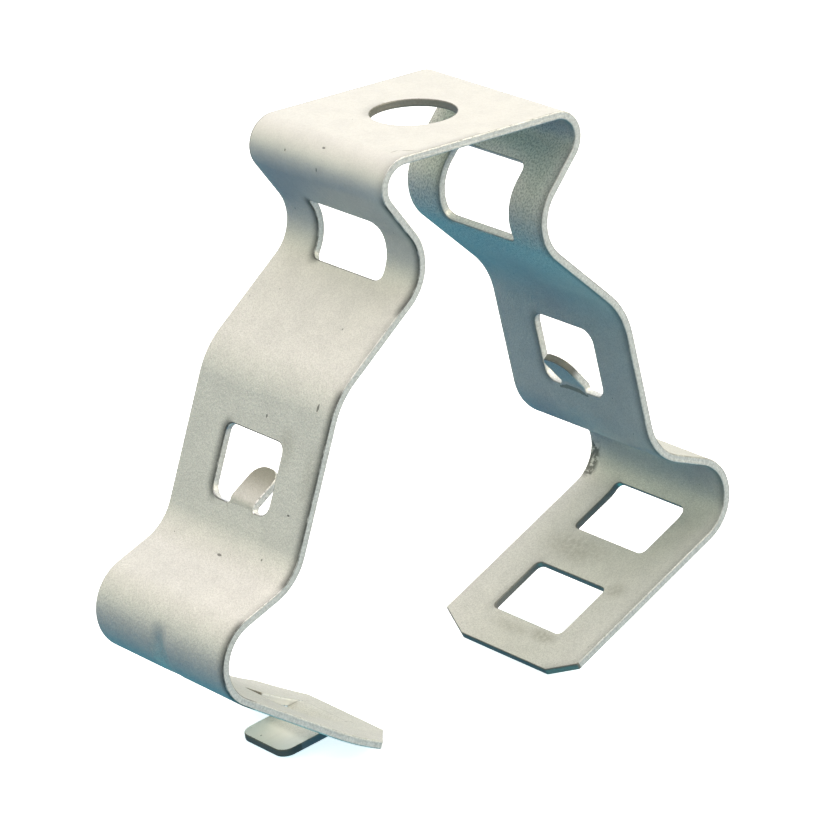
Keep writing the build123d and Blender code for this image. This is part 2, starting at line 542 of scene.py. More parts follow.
@dataclass(frozen=True)
class Mark:
    """An oval mark on the coat, placed on the blank in millimetres and turned by degrees."""

    along: float
    across: float
    length: float
    width: float
    share: float = 1.0
    turn: float = 0.0

    def mask(self, wiring: Wiring, place: Socket, inner: float, outer: float) -> Socket:
        """Draws the mark.

        Args:
            wiring: The material.
            place: Place on the blank.
            inner: Share of the oval that has the mark's full strength.
            outer: Share of the oval where the mark ends.

        Returns:
            The mark's share inside it and 0 outside.
        """
        centre = (self.along, self.across, 0.0)
        own = wiring.node("VectorMath", {0: place, 1: centre}, operation="SUBTRACT").outputs[0]
        if self.turn:
            values = {"Vector": own, "Angle": -radians(self.turn)}
            own = wiring.node("VectorRotate", values, rotation_type="Z_AXIS").outputs[0]
        near = wiring.stretched(own, (1 / self.length, 1 / self.width, 0.0))
        reach = wiring.node("VectorMath", {0: near}, operation="LENGTH").outputs["Value"]
        return wiring.ramp(reach, outer, inner, 0.0, self.share)


@dataclass(frozen=True)
class FlakeCoat:
    """Matt zinc flake coat on spring steel."""

    name: str = "zinc_flake_coat"
    pale: Colour = (0.684, 0.668, 0.62)
    dull: Colour = (0.65, 0.635, 0.592)
    grime: Colour = (0.10, 0.10, 0.09)
    brown: Colour = (0.25, 0.235, 0.18)
    # Painted light on the inner face of the right neck.
    neck_painted_light: Colour = (0.77, 0.745, 0.69)
    # Painted light on the hook's plate.
    hook_painted_light: Colour = (0.93, 0.9, 0.84)
    metallic: float = 0.45
    cloud: Cloud = Cloud(0.42, 0.36, 0.64, rough=0.6)
    crust: Cloud = Cloud(5.0, 0.36, 0.6, 0.66, 1.12, rough=0.7)
    gloss: Cloud = Cloud(2.5, 0.3, 0.7, 0.47, 0.63)
    blotches: Cloud = Cloud(2.2, 0.3, 0.65, 0.35, 1.0, 4.0, 0.65)
    specks: Cloud = Cloud(1.7, 0.42, 0.5, detail=4.0, rough=0.65)
    scratches: Cloud = Cloud(1.0, 0.63, 0.68)
    scratch_stretch: Factors = (0.22, 6.0, 1.0)
    scratch_share: float = 0.1
    scratch_depth: float = 0.002
    grain: Grain = (9.0, 2.0, 0.5)
    grain_tint: Levels = (0.28, 0.72, 0.88, 1.1)
    grain_depth: float = 0.022
    peel: Grain = (3.2, 2.0, 0.5)
    peel_depth: float = 0.036
    worn_span: Span = (9.0, 32.0)
    worn_share: float = 0.4
    neck_face_span: Span = (13.0, 27.0)
    neck_face_ease: float = 5.0
    hook_light_span: Span = (-80.0, -79.0)
    scuff_span: Span = (61.2, 64.2)
    scuff_ease: float = 0.8
    scuff_from: float = 7.9
    scuff_fade: float = 0.6
    scuff_share: float = 0.8
    # Painted shade at the tip of the left tongue.
    tongue_shade_span: Span = (-46.6, -43.6)
    tongue_shade_levels: Span = (0.26, 0.75)
    speck_stretch: Factors = (1.0, 1.6, 1.0)
    specks_per_mm: float = 0.62
    speck_sizes: Levels = (0.55, 1.0, 0.0, 0.085)
    speck_rim: float = 0.04
    pit_rim: Span = (0.85, 1.15)
    pit_share: float = 0.75
    pit_depth: float = 0.03
    stain_rim: Span = (0.2, 1.3)
    rims: RimShade = RimShade()
    pits: tuple[Mark, ...] = (
        Mark(-52.1, 0.1, 0.13, 0.3),
        Mark(-38.7, -1.0, 0.16, 0.11),
        Mark(-36.4, -7.4, 0.36, 0.14),
        Mark(-46.2, -6.9, 0.1, 0.16),
        Mark(-50.9, -5.1, 0.12, 0.1),
        Mark(-10.4, -0.5, 0.09, 0.2),
        Mark(-12.2, -0.3, 0.16, 0.08),
        Mark(-11.5, 4.3, 0.1, 0.1),
    )
    stains: tuple[Mark, ...] = (
        Mark(-40.7, -4.4, 1.9, 1.5, 0.3),
        Mark(-42.5, -8.4, 3.0, 1.2, 0.25),
        Mark(72.6, 2.6, 1.9, 4.6, 0.4),
        Mark(75.3, -6.1, 1.1, 1.3, 0.4),
        Mark(82.9, -3.4, 0.8, 1.9, 0.5),
        Mark(83.3, 0.6, 0.8, 2.8, 0.3),
        Mark(-8.35, -7.76, 0.45, 0.12, 0.8),
        Mark(-7.46, -8.38, 0.79, 0.12, 0.9, -49.4),
    )

    def build(self) -> bpy.types.Material:
        """Makes the node material.

        Returns:
            The finished material.
        """
        wiring = Wiring(self.name)
        place = wiring.blank()
        grain = wiring.noise(place, *self.grain)
        scratch = self.scratches.draw(wiring, wiring.stretched(place, self.scratch_stretch))
        pits = self.pitting(wiring, place)
        distance = wiring.maths("ABSOLUTE", wiring.parts(place)[0])
        rough = wiring.ramp(distance, *self.worn_span, self.worn_share)
        colour = wiring.mix(self.cloud.draw(wiring, place), self.dull, self.pale)
        colour = wiring.mix(rough, colour, wiring.ramp(grain, *self.grain_tint), "MULTIPLY")
        colour = self.marks_and_painted_light(wiring, colour, place, scratch, pits)
        wiring.feed(wiring.shader, "Base Color", colour)
        wiring.feed(wiring.shader, "Metallic", self.metallic)
        wiring.feed(wiring.shader, "Roughness", self.gloss.draw(wiring, place))
        peel = wiring.times(wiring.noise(place, *self.peel), rough)
        relief = wiring.bump(peel, self.peel_depth)
        relief = wiring.bump(wiring.times(grain, rough), self.grain_depth, relief)
        relief = wiring.bump(scratch, -self.scratch_depth, relief)
        relief = wiring.bump(pits, -self.pit_depth, relief)
        wiring.feed(wiring.shader, "Normal", relief)
        return wiring.material

    def marks_and_painted_light(self, wiring: Wiring, colour: Socket, place: Socket, scratch: Socket, pits: Socket) -> Socket:
        """Lays the marks of making and handling, with painted light and shade, over the coat's own colour.

        Args:
            wiring: The material.
            colour: The coat's own colour.
            place: Place on the blank.
            scratch: The fine scratches.
            pits: The pits and specks.

        Returns:
            The colour with all its marks, and its painted light and shade.
        """
        # Painted light: the hook's plate is lightened where the foot above shades it.
        colour = wiring.mix(self.hook_light_share(wiring, place), colour, self.hook_painted_light)
        inside = self.inside(wiring, place)
        # Painted light: the inner face of the right neck is lightened where the strip shades it.
        colour = wiring.mix(inside, colour, self.neck_painted_light)
        colour = wiring.mix(inside, colour, self.crust.draw(wiring, place), "MULTIPLY")
        for share, mask, mark in (
            (self.scratch_share, scratch, self.dull),
            (1.0, self.stains_and_tongue_shade(wiring, place), self.brown),
            (self.pit_share, pits, self.grime),
            (self.scuff_share, self.scuffs(wiring, place), self.grime),
        ):
            colour = wiring.mix(wiring.times(mask, share), colour, mark)
        return self.rims.draw(wiring, self.rims.soften(wiring, colour, place), place)

    def hook_light_share(self, wiring: Wiring, place: Socket) -> Socket:
        """One on the plate of the hook, where painted light makes it lighter than the strip, and 0 at its
        root.
        """
        along = wiring.parts(place)[0]
        return wiring.times(wiring.in_zone(Zone.HOOK), wiring.ramp(along, *self.hook_light_span))

    def inside(self, wiring: Wiring, place: Socket) -> Socket:
        """Finds the inner face of the right neck, where the coat is rough and painted light lightens it.

        Args:
            wiring: The material.
            place: Place on the blank.

        Returns:
            One on that face, easing to 0 along the strip.
        """
        along, _, rise = wiring.parts(place)
        span = wiring.between(along, *self.neck_face_span, self.neck_face_ease)
        return wiring.times(span, wiring.maths("LESS_THAN", rise, 0.0))

    def stains_and_tongue_shade(self, wiring: Wiring, place: Socket) -> Socket:
        """Draws the brownish clouds, and painted shade that darkens the tip of the left tongue.

        Args:
            wiring: The material.
            place: Place on the blank.

        Returns:
            The share of brown.
        """
        clouds: float | Socket = 0.0
        for stain in self.stains:
            clouds = wiring.most(clouds, stain.mask(wiring, place, *self.stain_rim))
        clouds = wiring.times(clouds, self.blotches.draw(wiring, place))
        # Painted shade: the tip of the left tongue darkens where the window above shades it.
        tip = wiring.ramp(wiring.parts(place)[0], *self.tongue_shade_span, *self.tongue_shade_levels)
        return wiring.most(clouds, wiring.times(wiring.in_zone(Zone.LEFT_TONGUE), tip))

    def scuffs(self, wiring: Wiring, place: Socket) -> Socket:
        """Draws the rubbed black specks inside the right foot bend, at its far rim.

        Args:
            wiring: The material.
            place: Place on the blank.

        Returns:
            The share of black.
        """
        along, across, rise = wiring.parts(place)
        span = wiring.between(along, *self.scuff_span, self.scuff_ease)
        beside = wiring.ramp(across, self.scuff_from, self.scuff_from + self.scuff_fade)
        beside = wiring.times(beside, wiring.maths("LESS_THAN", rise, 0.0))
        return wiring.times(wiring.times(span, beside), self.specks.draw(wiring, place))

    def pitting(self, wiring: Wiring, place: Socket) -> Socket:
        """Draws scattered specks, and the larger pits one by one.

        Args:
            wiring: The material.
            place: Place on the blank.

        Returns:
            One inside a pit and 0 outside.
        """
        values = {"Vector": wiring.stretched(place, self.speck_stretch), "Scale": self.specks_per_mm}
        cells = wiring.node("TexVoronoi", values)
        size = wiring.ramp(wiring.parts(cells.outputs["Color"])[0], *self.speck_sizes)
        gap = wiring.maths("SUBTRACT", cells.outputs["Distance"], size)
        found = wiring.ramp(gap, 0.0, -self.speck_rim)
        for pit in self.pits:
            found = wiring.most(found, pit.mask(wiring, place, *self.pit_rim))
        return found


@dataclass(frozen=True)
class ShearedEdge:
    """Sheared edge of the sheet: smooth where the punch went in, torn where the metal broke away."""

    name: str = "sheared_edge"
    smooth: Colour = (0.80, 0.80, 0.775)
    torn: Colour = (0.70, 0.71, 0.70)
    # Dark colour of the painted shade, and of the darker bolt hole wall and tongue tip.
    edge_darkening: Colour = (0.16, 0.15, 0.125)
    # Coat colour with painted light on the walls of the hook's opening.
    coat_and_painted_light: Colour = (0.73, 0.745, 0.77)
    metallic: float = 0.35
    streak: Grain = (1.0, 3.0, 0.6)
    streak_stretch: Factors = (5.0, 5.0, 2.2)
    streak_tint: Levels = (0.3, 0.7, 0.93, 1.06)
    streak_depth: float = 0.005
    crumb: Grain = (4.5, 3.0, 0.65)
    crumb_tint: Levels = (0.3, 0.7, 0.84, 1.1)
    tear_line: Grain = (1.1, 3.0, 0.5)
    tear_wander: float = 0.5
    tear_span: Span = (0.2, 0.1)
    tear_gloss: Levels = (0.0, 1.0, 0.48, 0.62)
    tear_depth: float = 0.02
    hole_reach: float = 4.2
    hole_darkening: float = 0.85
    # Painted shade on the hook's edges and at the end of its opening.
    hook_shade: float = 0.75
    end_span: Span = (-78.8, -75.0)
    end_ease: float = 0.3
    end_half: float = 3.6
    end_shade: float = 0.95
    slot_from: float = 63.5
    slot_ease: float = 0.1
    slot_half: float = 5.2
    # Painted shade in the slots and at the right toe.
    slot_shade: float = 0.78
    toe_from: float = 83.9
    toe_shade: float = 0.85
    tip_span: Span = (43.6, 42.4)
    tip_darkening: float = 0.85
    rims: RimShade = RimShade()

    def build(self) -> bpy.types.Material:
        """Makes the node material.

        Returns:
            The finished material.
        """
        wiring = Wiring(self.name)
        place = wiring.blank()
        along, across, rise = wiring.parts(place)
        streak = wiring.noise(wiring.stretched(place, self.streak_stretch), *self.streak)
        crumb = wiring.noise(place, *self.crumb)
        wander = wiring.times(wiring.noise(place, *self.tear_line), self.tear_wander)
        torn = wiring.ramp(wiring.maths("ADD", rise, wander), *self.tear_span)
        colour = wiring.mix(torn, self.smooth, self.torn)
        colour = wiring.mix(1.0, colour, wiring.ramp(crumb, *self.crumb_tint), "MULTIPLY")
        colour = wiring.mix(1.0, colour, wiring.ramp(streak, *self.streak_tint), "MULTIPLY")
        # The walls of the hook's opening take the coat's colour, lightened and tinted blue as painted
        # light.
        colour = wiring.mix(self.rims.in_opening(wiring, along, across), colour, self.coat_and_painted_light)
        # Painted shade at the hook, its opening's end, the slots and the right toe; darker bolt hole wall
        # and tongue tip.
        colour = wiring.mix(self.painted_shade_and_darkening(wiring, place), colour, self.edge_darkening)
        colour = self.rims.draw(wiring, colour, place)
        wiring.feed(wiring.shader, "Base Color", colour)
        wiring.feed(wiring.shader, "Metallic", self.metallic)
        wiring.feed(wiring.shader, "Roughness", wiring.ramp(torn, *self.tear_gloss))
        relief = wiring.bump(streak, self.streak_depth)
        relief = wiring.bump(wiring.times(crumb, torn), self.tear_depth, relief)
        wiring.feed(wiring.shader, "Normal", relief)
        return wiring.material

    def painted_shade_and_darkening(self, wiring: Wiring, place: Socket) -> Socket:
        """Tells how far the edges are darkened, with painted shade in most places.

        Args:
            wiring: The material.
            place: Place on the blank.

        Returns:
            More than 0 on the wall of the bolt hole, at the hook, in the slots, at the right toe and
            at the tip of the right tongue.
        """
        along, across, _ = wiring.parts(place)
        spot = wiring.stretched(place, (1.0, 1.0, 0.0))
        reach = wiring.node("VectorMath", {0: spot}, operation="LENGTH").outputs["Value"]
        beside = wiring.maths("ABSOLUTE", across)
        end = wiring.between(along, *self.end_span, self.end_ease)
        slots = wiring.between(along, self.slot_from, self.toe_from, self.slot_ease)
        found: float | Socket = 0.0
        for share, first, second in (
            (self.hole_darkening, wiring.maths("LESS_THAN", reach, self.hole_reach), 1.0),
            # Painted shade on the hook's edges under the foot, and a painted shadow at its opening's end.
            (self.hook_shade, wiring.in_zone(Zone.HOOK), 1.0),
            (self.end_shade, end, wiring.maths("LESS_THAN", beside, self.end_half)),
            # Painted shade on the down-facing walls of the slots and the end of the right toe.
            (self.slot_shade, slots, wiring.maths("LESS_THAN", beside, self.slot_half)),
            (self.toe_shade, wiring.maths("GREATER_THAN", along, self.toe_from), 1.0),
            (self.tip_darkening, wiring.in_zone(Zone.RIGHT_TONGUE), wiring.ramp(along, *self.tip_span)),
        ):
            one = wiring.times(wiring.times(first, second), share)
            found = wiring.most(found, one)
        return found


def outline(corners: Sequence[Corner], step: float, arc_parts: int = 6) -> np.ndarray:
    """Draws a closed outline with rounded corners.

    Args:
        corners: Each corner's place along and across the blank, and its radius.
        step: The longest distance between two points of a straight edge.
        arc_parts: The number of parts of each rounded corner.

    Returns:
        One row for each point, in the order of the corners.
    """
    bends = []
    for i, (along, across, radius) in enumerate(corners):
        here = Vector((along, across))
        back = (Vector(corners[i - 1][:2]) - here).normalized()
        ahead = (Vector(corners[(i + 1) % len(corners)][:2]) - here).normalized()
        if radius == 0:
            bends.append([here])
            continue
        half = back.angle(ahead) / 2
        centre = here + (back + ahead).normalized() * (radius / sin(half))
        first = here + back * (radius / tan(half)) - centre
        last = here + ahead * (radius / tan(half)) - centre
        turn = first.angle_signed(last)
        arc = [centre + Matrix.Rotation(-turn * k / arc_parts, 2) @ first for k in range(arc_parts + 1)]
        bends.append(arc)
    points: list[Vector] = []
    for i, arc in enumerate(bends):
        start = bends[i - 1][-1]
        count = max(1, round((arc[0] - start).length / step))
        points += [start.lerp(arc[0], k / count) for k in range(1, count)]
        points += arc
    return np.array(points)


@dataclass(frozen=True)
class Flap:
    """A tongue or the hook: where it lies in the blank, and the line it is bent along."""

    zone: Zone
    line: FoldLine
    root: float
    middle: float
    half: float
    tip_corner: float
    root_corner: float = 0.0

    def holds(self, points: np.ndarray, slack: float) -> np.ndarray:
        """Tells which points of the blank lie on the flap.

        Args:
            points: One row for each point.
            slack: How far outside its outline a point may be.

        Returns:
            True for each point on the flap.
        """
        along = self.line.hand.value * points[:, 0]
        tip = self.root - self.line.length
        cut = np.clip(tip + self.tip_corner - along, 0, self.tip_corner)
        reach = self.half - self.tip_corner + np.sqrt(self.tip_corner**2 - cut**2)
        reach = np.where(along > self.root - self.root_corner, self.half + self.root_corner, reach)
        between = (along < self.root - TINY) & (along > tip - slack)
        return between & (abs(points[:, 1] - self.middle) < reach + slack)


@dataclass
class Blank:
    """The flat pierced strip and the lines that it is folded along, in millimetres.

    Its points are given along the strip, from the bolt hole towards the right toe, and across it.
    """

    width: float = 19.0
    sheet: float = 0.76
    bolt_hole: float = 7.8
    hole_to_top_bend: float = 8.6
    top_bend_radius: float = 1.95
    neck_radius: float = 4.05
    shoulder_radius: float = 7.5
    shelf_radius: float = 4.95
    foot_bend_radius: float = 3.75
    toe_curl_radius: float = 33.0
    top_to_neck: float = 4.1
    shelf_length: float = 3.45
    neck_turn: float = 87.2
    neck_window_width: float = 9.7
    neck_window_corner: float = 0.8
    middle_window_width: float = 8.2
    middle_window_lower_corner: float = 1.2
    tongue_width: float = 3.4
    tongue_bend_radius: float = 0.2
    tongue_tip_corner: float = 1.4
    tongue_root_corner: float = 0.3
    tongue_root_straight: float = 0.35
    slot_width: float = 9.7
    slot_length: float = 6.5
    slot_pitch: float = 11.5
    slot_count: int = 2
    toe_to_slot: float = 4.0
    slot_corner: float = 0.6
    right_toe_cut: Corner = (1.9, 4.25, 2.6)
    left_toe_cut: Corner = (3.4, 4.05, 4.05)
    toe_corner: float = 0.25
    hook_width: float = 6.6
    hook_root_to_toe: float = 2.6
    hook_bend_radius: float = 1.0
    hook_turn: float = 29.0
    hook_length: float = 6.5
    hook_corner: float = 1.2
    hook_end_clearance: float = 0.5
    hook_side_clearance: float = 0.02
    edge_step: float = 0.3
    flap_edge_step: float = 0.12
    left: FoldLine = field(init=False)
    right: FoldLine = field(init=False)
    flaps: list[Flap] = field(init=False)

    def __post_init__(self) -> None:
        """Draws the lines that the blank is folded along."""
        self.left = self.leg_line(LEFT_LEG)
        self.right = self.leg_line(RIGHT_LEG)
        self.flaps = [self.tongue(LEFT_LEG, self.left), self.tongue(RIGHT_LEG, self.right), self.hook()]

    def leg_line(self, leg: Leg) -> FoldLine:
        """Draws the middle line of one leg, from under the bolt hole to the toe.

        Args:
            leg: The leg's own sizes.

        Returns:
            The line.
        """
        line = FoldLine(leg.hand, self.sheet, (0.0, -self.sheet / 2, 0.0))
        line.straight(self.hole_to_top_bend)
        line.bend(self.top_bend_radius, leg.top_turn)
        line.straight(self.top_to_neck)
        line.bend(self.neck_radius, -self.neck_turn)
        line.straight(leg.shoulder_length)
        line.bend(self.shoulder_radius, leg.shoulder_turn)
        line.straight(leg.panel_length)
        line.mark("panel_end")
        line.bend(self.shelf_radius, -leg.shelf_turn)
        line.straight(self.shelf_length)
        line.mark("foot_bend")
        line.bend(self.foot_bend_radius, leg.foot_turn)
        line.straight(leg.foot_length)
        line.bend(self.toe_curl_radius, leg.toe_turn)
        return line

    def tongue(self, leg: Leg, line: FoldLine) -> Flap:
        """Makes the tongue of a middle window.

        Args:
            leg: The leg's own sizes.
            line: The leg's middle line.

        Returns:
            The tongue.
        """
        root = line.marks["panel_end"] - leg.middle_window_to_shelf
        run = line.branch(root)
        run.straight(self.tongue_root_straight)
        run.bend(self.tongue_bend_radius, -leg.tongue_turn)
        run.straight(leg.tongue_length)
        corners = self.tongue_tip_corner, self.tongue_root_corner
        return Flap(leg.tongue_zone, run, root, leg.tongue_offset, self.tongue_width / 2, *corners)

    def hook(self) -> Flap:
        """Makes the hook of the left foot.

        Returns:
            The hook.
        """
        root = self.left.length - self.hook_root_to_toe
        run = self.left.branch(root)
        run.bend(self.hook_bend_radius, self.hook_turn)
        run.straight(self.hook_length)
        half = self.hook_width / 2 - self.hook_side_clearance
        return Flap(Zone.HOOK, run, root, 0.0, half, self.hook_corner)

    def toe(self, line: FoldLine, cut: Corner) -> list[Corner]:
        """Lists the corners of one toe, from the front edge to the back edge.

        Args:
            line: The leg's middle line.
            cut: How far the cut corners run along, across at the back and across in front.

        Returns:
            The four corners.
        """
        side, half = line.hand.value, self.width / 2
        along, back, front = cut
        end, shoulder = side * line.length, side * (line.length - along)
        return [
            (shoulder, -half, self.toe_corner),
            (end, -half + front, self.toe_corner),
            (end, half - back, self.toe_corner),
            (shoulder, half, self.toe_corner),
        ]

    def outer_edge(self) -> np.ndarray:
        """Draws the outline of the whole strip.

        Returns:
            The outline.
        """
        right = self.toe(self.right, self.right_toe_cut)
        left = self.toe(self.left, self.left_toe_cut)
        return outline(right + left[::-1], self.edge_step)

    def window(self, line: FoldLine, begin: float, end: float, width: float, corner: float) -> np.ndarray:
        """Draws the outline of a plain window.

        Args:
            line: The leg's middle line.
            begin: Where the window begins along the leg.
            end: Where it ends.
            width: Its width across the strip.
            corner: The radius of its corners.

        Returns:
            The outline.
        """
        side, half = line.hand.value, width / 2
        places = ((begin, -half), (begin, half), (end, half), (end, -half))
        return outline([(side * along, across, corner) for along, across in places], self.edge_step)

    def tongue_window(self, leg: Leg, flap: Flap) -> np.ndarray:
        """Draws the outline of a middle window with its tongue standing in it.

        Args:
            leg: The leg's own sizes.
            flap: The tongue.

        Returns:
            The outline.
        """
        side, half = leg.hand.value, self.middle_window_width / 2
        begin, tip = flap.root - leg.middle_window_length, flap.root - flap.line.length
        low, high = flap.middle - flap.half, flap.middle + flap.half
        corners = [
            (side * begin, -half, leg.middle_window_upper_corner),
            (side * begin, half, leg.middle_window_upper_corner),
            (side * flap.root, half, self.middle_window_lower_corner),
            (side * flap.root, high, flap.root_corner),
            (side * tip, high, flap.tip_corner),
            (side * tip, low, flap.tip_corner),
            (side * flap.root, low, flap.root_corner),
            (side * flap.root, -half, self.middle_window_lower_corner),
        ]
        return outline(corners, self.flap_edge_step)

    def hook_window(self, flap: Flap) -> np.ndarray:
        """Draws the outline of the opening that the hook is lanced out of, with the hook in it.

        Args:
            flap: The hook.

        Returns:
            The outline.
        """
        half, own = self.hook_width / 2, flap.half
        tip = flap.root - flap.line.length
        begin = tip - self.hook_end_clearance
        corners = [
            (-begin, -half, self.hook_corner),
            (-begin, half, self.hook_corner),
            (-flap.root, half, 0.0),
            (-flap.root, own, 0.0),
            (-tip, own, self.hook_corner),
            (-tip, -own, self.hook_corner),
            (-flap.root, -own, 0.0),
            (-flap.root, -half, 0.0),
        ]
        return outline(corners, self.flap_edge_step)

    def hole(self) -> np.ndarray:
        """Draws the outline of the bolt hole.

        Returns:
            The outline.
        """
        count = round(pi * self.bolt_hole / self.edge_step)
        turns = np.arange(count) * 2 * pi / count
        return np.stack([np.cos(turns), np.sin(turns)], 1) * self.bolt_hole / 2

    def loops(self) -> list[np.ndarray]:
        """Draws all outlines of the blank, each with the metal on its left.

        Returns:
            The outlines; the strip's own is the first.
        """
        left_tongue, right_tongue, hook = self.flaps
        found = [self.outer_edge(), self.hole(), self.hook_window(hook)]
        for leg, line, flap in ((LEFT_LEG, self.left, left_tongue), (RIGHT_LEG, self.right, right_tongue)):
            begin = leg.neck_window_start
            end = begin + leg.neck_window_length
            found.append(self.window(line, begin, end, self.neck_window_width, self.neck_window_corner))
            found.append(self.tongue_window(leg, flap))
        for count in range(self.slot_count):
            end = self.right.length - self.toe_to_slot - count * self.slot_pitch
            begin = end - self.slot_length
            found.append(self.window(self.right, begin, end, self.slot_width, self.slot_corner))
        for i, loop in enumerate(found):
            ahead = np.roll(loop, -1, 0)
            area = (loop[:, 0] * ahead[:, 1] - ahead[:, 0] * loop[:, 1]).sum()
            if (area > 0) != (i == 0):
                found[i] = loop[::-1].copy()
        return found

    def zone_of(self, points: np.ndarray) -> np.ndarray:
        """Tells which part of the sheet each point of the blank belongs to.

        Args:
            points: One row for each point.

        Returns:
            The zone number of each point.
        """
        zones = np.zeros(len(points), int)
        for flap in self.flaps:
            zones[flap.holds(points, self.hook_side_clearance / 2)] = flap.zone.value
        return zones


@dataclass(frozen=True)
class Ring:
    """One line of points round all edges of the sheet."""

    inward: float
    height: float
    slope: float


@dataclass(frozen=True)
class Skin:
    """Points of the strap's surface on the blank, and how the surface leans there.

    Each point has a place along, across and over the middle of the sheet, the slope of the surface
    from the sheet's face, the way out of the metal, and a zone.
    """

    spot: np.ndarray
    slope: np.ndarray
    out: np.ndarray
    zone: np.ndarray


@dataclass
class ClampStrap:
    """The clamp's one sheet as a folded mesh. Lengths are in millimetres."""

    node: str = "clamp_strap"
    blank: Blank = field(default_factory=Blank)
    edge_break: float = 0.13
    edge_parts: int = 3
    mesh_step: float = 0.6
    mesh_turn: float = 4.0
    flap_turn: float = 8.0
    mesh_clearance: float = 0.16
    dart_half: float = 1.45
    dart_reach: float = 3.3
    dart_depth: float = 0.6
    dart_into_foot_bend: float = 6.2
    dart_offset: float = 0.1
    dart_grid: float = 0.2
    nudge: float = 0.01
    near_way: float = -0.5
    batches: int = 20

    def dent(self, along: np.ndarray, across: np.ndarray) -> np.ndarray:
        """Finds how far the dart presses the left foot bend in.

        Args:
            along: Distances along the left leg.
            across: Distances across the strip.

        Returns:
            The depth at each point.
        """
        beyond = (along - self.dart_place()) / self.dart_reach
        beside = (across - self.dart_offset) / self.dart_half
        lengthwise = (1 - np.clip(abs(beyond), 0, 1) ** 2) ** 2
        return self.dart_depth * lengthwise * np.cos(pi / 2 * np.clip(beside, -1, 1)) ** 2

    def dart_place(self) -> float:
        """Distance of the dart's middle along the left leg."""
        return self.blank.left.marks["foot_bend"] + self.dart_into_foot_bend

    def folded(self, zones: np.ndarray, spots: np.ndarray) -> np.ndarray:
        """Folds points of the blank.

        Args:
            zones: The zone of each point.
            spots: One row for each point: along, across and over the middle of the sheet.

        Returns:
            Their places in space.
        """
        along, across, rise = spots.T
        left = self.blank.left.fold(-along, across, rise)
        heading = self.blank.left.at(np.array([self.dart_place()]))[2][0]
        outward = np.array([sin(heading), 0.0, cos(heading)])
        left -= self.dent(-along, across)[:, None] * outward
        places = np.where((along >= 0)[:, None], self.blank.right.fold(along, across, rise), left)
        for flap in self.blank.flaps:
            on = zones == flap.zone.value
            run = flap.root - flap.line.hand.value * along[on]
            places[on] = flap.line.fold(run, across[on], -rise[on])
        return places

    def rings(self) -> list[Ring]:
        """Draws the broken edge of the sheet, from its outer to its inner face.

        Returns:
            The rings.
        """
        half, radius = self.blank.sheet / 2, self.edge_break
        slopes = [pi / 2 * k / self.edge_parts for k in range(self.edge_parts + 1)]
        upper = [Ring(radius * (1 - sin(a)), half - radius * (1 - cos(a)), a) for a in slopes]
        return upper + [Ring(ring.inward, -ring.height, ring.slope) for ring in upper[::-1]]

    def interior(self, loops: list[np.ndarray]) -> np.ndarray:
        """Finds points of the blank that carry the mesh between its edges.

        Args:
            loops: The outlines that the face of the blank is filled to.

        Returns:
            One row for each point.
        """
        half = self.blank.width / 2
        across = np.linspace(-half, half, round(self.blank.width / self.mesh_step) + 1)
        along = [-s for s in self.blank.left.stations(self.mesh_turn, self.mesh_step)]
        along += self.blank.right.stations(self.mesh_turn, self.mesh_step)[1:]
        grid = np.array([(u, v) for u in along for v in across])
        grids = [grid[self.blank.zone_of(grid) == Zone.STRIP.value]]
        for flap in self.blank.flaps:
            side = flap.line.hand.value
            stops = [side * (flap.root - s) for s in flap.line.stations(self.flap_turn, self.mesh_step)]
            grid = np.array([(u, v) for u in stops for v in across])
            grids.append(grid[self.blank.zone_of(grid) == flap.zone.value])
        lengthwise = np.arange(-self.dart_reach, self.dart_reach, self.dart_grid) - self.dart_place()
        sideways = np.arange(-self.dart_half, self.dart_half, self.dart_grid) + self.dart_offset
        grids.append(np.array([(u, v) for u in lengthwise for v in sideways]))
        points = np.concatenate(grids)
        clear = self.nearest(points, np.concatenate(loops)) > self.mesh_clearance
        return points[clear & self.metal(points, loops)]

    def nearest(self, points: np.ndarray, others: np.ndarray) -> np.ndarray:
        """Finds how far each point is from the nearest of some others.

        Args:
            points: One row for each point.
            others: The points that the distance is measured to.

        Returns:
            The distances.
        """
        found = np.full(len(points), np.inf)
        for part in np.array_split(others, self.batches):
            gaps = ((points[:, None] - part[None]) ** 2).sum(-1).min(1)
            found = np.minimum(found, gaps)
        return np.sqrt(found)

    @staticmethod
    def metal(points: np.ndarray, loops: list[np.ndarray]) -> np.ndarray:
        """Tells which points lie in the metal, inside the strip and outside its openings.

        Args:
            points: One row for each point.
            loops: The outlines.

        Returns:
            True for each point in the metal.
        """
        inside = np.zeros(len(points), bool)
        x, y = points.T
        for loop in loops:
            for (x0, y0), (x1, y1) in zip(loop, np.roll(loop, -1, 0)):
                if y0 != y1:
                    crossed = (y0 > y) != (y1 > y)
                    inside ^= crossed & (x < x0 + (y - y0) * (x1 - x0) / (y1 - y0))
        return inside

    @staticmethod
    def outward(loop: np.ndarray) -> tuple[np.ndarray, np.ndarray]:
        """Finds the way out of the metal at each point of an outline.

        Args:
            loop: The outline, with the metal on its left.

        Returns:
            The mitred step out for an inset of one, and the unit direction.
        """
        run = np.roll(loop, -1, 0) - loop
        run /= np.linalg.norm(run, axis=1)[:, None]
        normal = np.stack([run[:, 1], -run[:, 0]], 1)
        before = np.roll(normal, 1, 0)
        step = (normal + before) / (1 + (normal * before).sum(1))[:, None]
        return step, step / np.linalg.norm(step, axis=1)[:, None]

